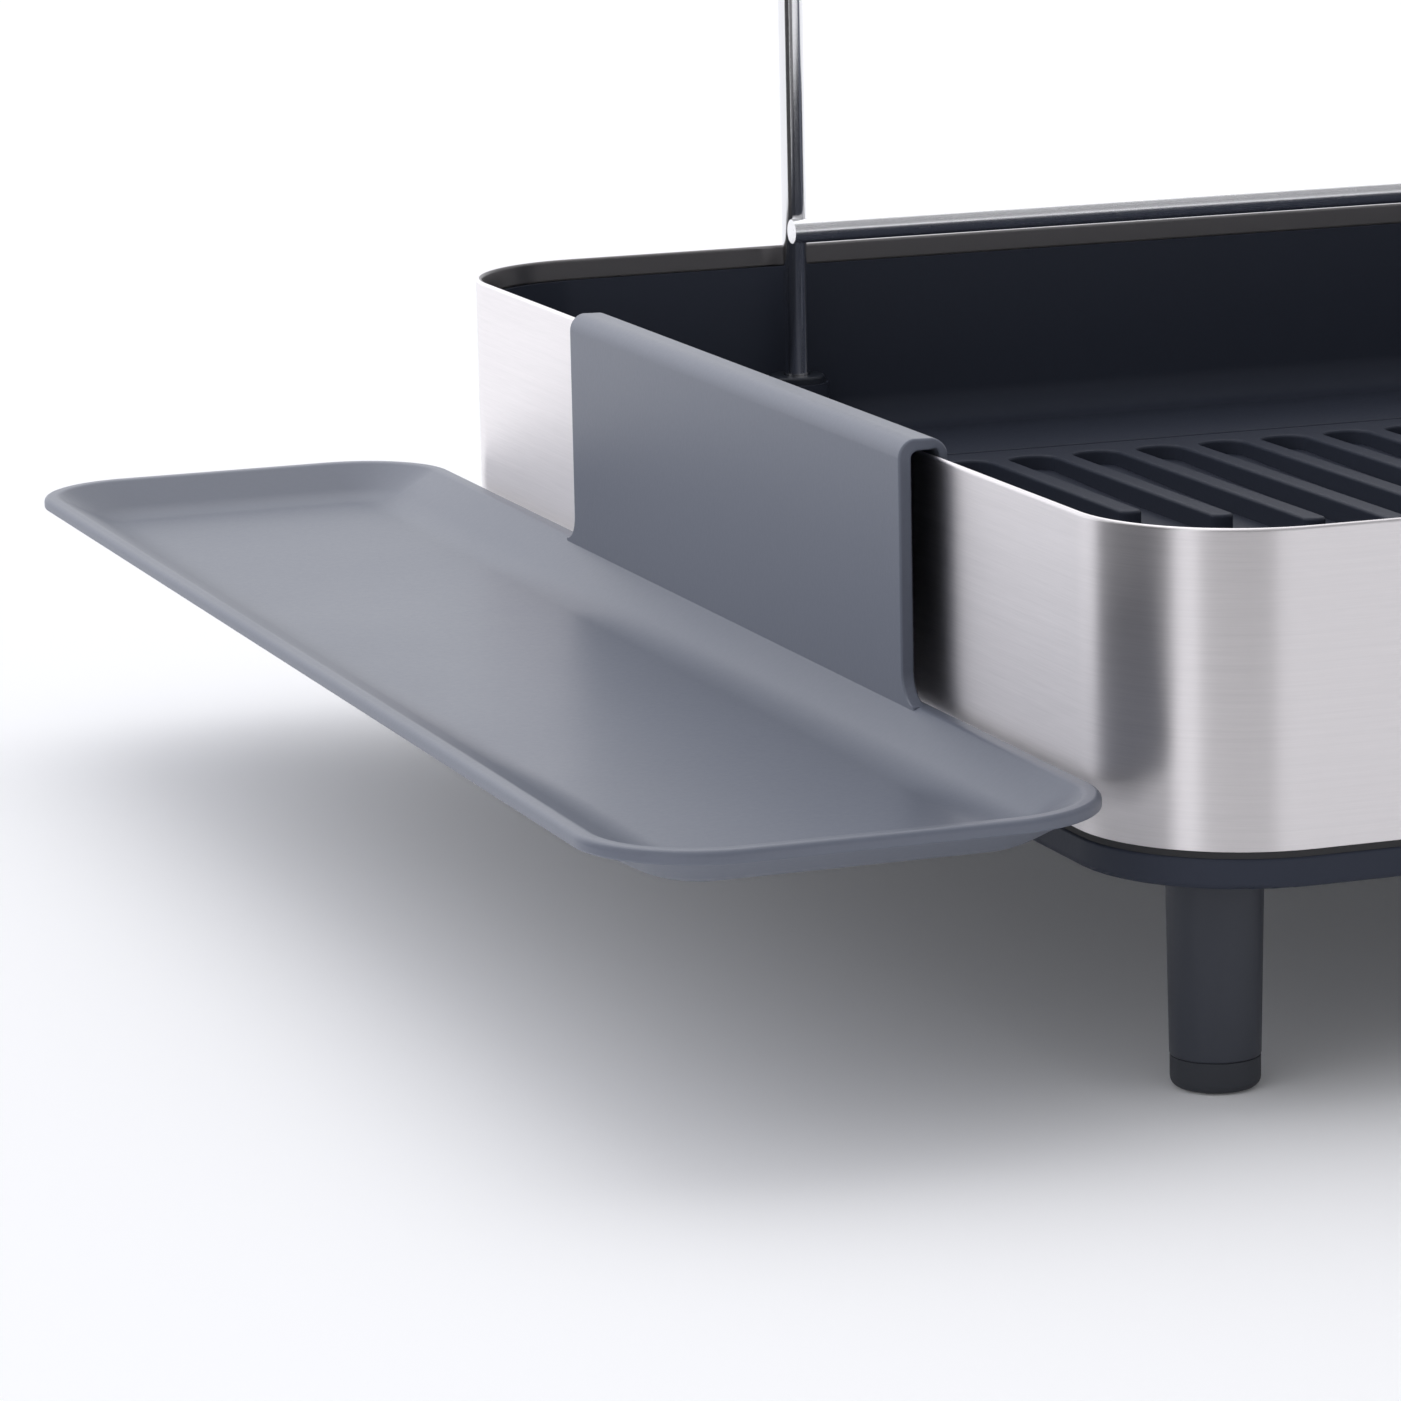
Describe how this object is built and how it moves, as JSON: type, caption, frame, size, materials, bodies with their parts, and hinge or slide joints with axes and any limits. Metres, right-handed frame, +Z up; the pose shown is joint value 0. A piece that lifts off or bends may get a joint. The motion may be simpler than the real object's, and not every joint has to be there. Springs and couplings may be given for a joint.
{
  "type": "dish drying rack",
  "caption": "Steel-banded dish drying rack with ribbed draining base, hook-on side tray, lift-out wire tier, cutlery holder and swivelling drain spout.",
  "frame": {"origin": "middle of the whole footprint, side tray included, on the surface the feet stand on", "axes": "+Z up, +X to the right, away from the side tray, +Y to the back"},
  "size_m": [0.5386, 0.3664, 0.3012],
  "materials": {
    "tray_plastic": "fine matte moulded slate plastic",
    "brushed_band": "horizontally brushed stainless steel",
    "seal_rubber": "black seal rubber",
    "leg_plastic": "smooth dark slate plastic",
    "foot_rubber": "dark rubber",
    "screw_steel": "plated screws",
    "side_plastic": "fine textured slate blue plastic",
    "collar_plastic": "smooth dark plastic",
    "polished_wire": "polished stainless wire",
    "holder_plastic": "fine textured slate blue plastic",
    "divider_plastic": "dark slate plastic",
    "strainer_plastic": "slate blue plastic",
    "spout_plastic": "dark slate plastic"
  },
  "bodies": {
    "base": {"band_seal": "seal_rubber", "base_tray": "tray_plastic", "collar_back_left": "collar_plastic", "collar_back_right": "collar_plastic", "collar_front_left": "collar_plastic", "collar_front_right": "collar_plastic", "foot_back_left": "foot_rubber", "foot_back_right": "foot_rubber", "foot_front_left": "foot_rubber", "foot_front_right": "foot_rubber", "leg_back_left": "leg_plastic", "leg_back_right": "leg_plastic", "leg_front_left": "leg_plastic", "leg_front_right": "leg_plastic", "leg_screws": "screw_steel", "spout_retainer": "spout_plastic", "spout_washer": "seal_rubber", "steel_band": "brushed_band"},
    "side_tray": {"side_tray": "side_plastic"},
    "wire_rack": {"cross_wire_01": "polished_wire", "cross_wire_02": "polished_wire", "cross_wire_03": "polished_wire", "cross_wire_04": "polished_wire", "cross_wire_05": "polished_wire", "cross_wire_06": "polished_wire", "cross_wire_07": "polished_wire", "cross_wire_08": "polished_wire", "cross_wire_09": "polished_wire", "cross_wire_10": "polished_wire", "cross_wire_11": "polished_wire", "plate_hoop_1": "polished_wire", "plate_hoop_2": "polished_wire", "plate_hoop_3": "polished_wire", "plate_hoop_4": "polished_wire", "plate_hoop_5": "polished_wire", "plate_hoop_6": "polished_wire", "plate_hoop_7": "polished_wire", "plate_hoop_8": "polished_wire", "plate_hoop_9": "polished_wire", "rail_back": "polished_wire", "rail_front": "polished_wire", "rod_back_left": "polished_wire", "rod_back_right": "polished_wire", "rod_front_left": "polished_wire", "rod_front_right": "polished_wire", "tier_frame": "polished_wire"},
    "cutlery_holder": {"cutlery_holder": "holder_plastic", "holder_divider": "divider_plastic"},
    "drain_strainer": {"drain_strainer": "strainer_plastic"},
    "spout_arm": {"spout_arm": "spout_plastic"},
    "spout_extension": {"spout_extension": "spout_plastic"}
  },
  "joints": [
    {"name": "side_tray_lift", "type": "slide", "parent": "base", "child": "side_tray", "axis": [0, 0, 1], "range_m": [0, 0.06]},
    {"name": "wire_rack_lift", "type": "slide", "parent": "base", "child": "wire_rack", "axis": [0, 0, 1], "range_m": [0, 0.06]},
    {"name": "cutlery_holder_lift", "type": "slide", "parent": "base", "child": "cutlery_holder", "axis": [0, 0, 1], "range_m": [0, 0.06]},
    {"name": "drain_strainer_lift", "type": "slide", "parent": "base", "child": "drain_strainer", "axis": [0, 0, 1], "range_m": [0, 0.03]},
    {"name": "spout_swivel", "type": "hinge", "parent": "base", "child": "spout_arm", "pos_m": [0.04275, -0.0063, 0.03], "axis": [0, 0, 1], "continuous": true},
    {"name": "spout_pull", "type": "slide", "parent": "spout_arm", "child": "spout_extension", "axis": [1, 0, 0], "range_m": [0, 0.05]}
  ]
}
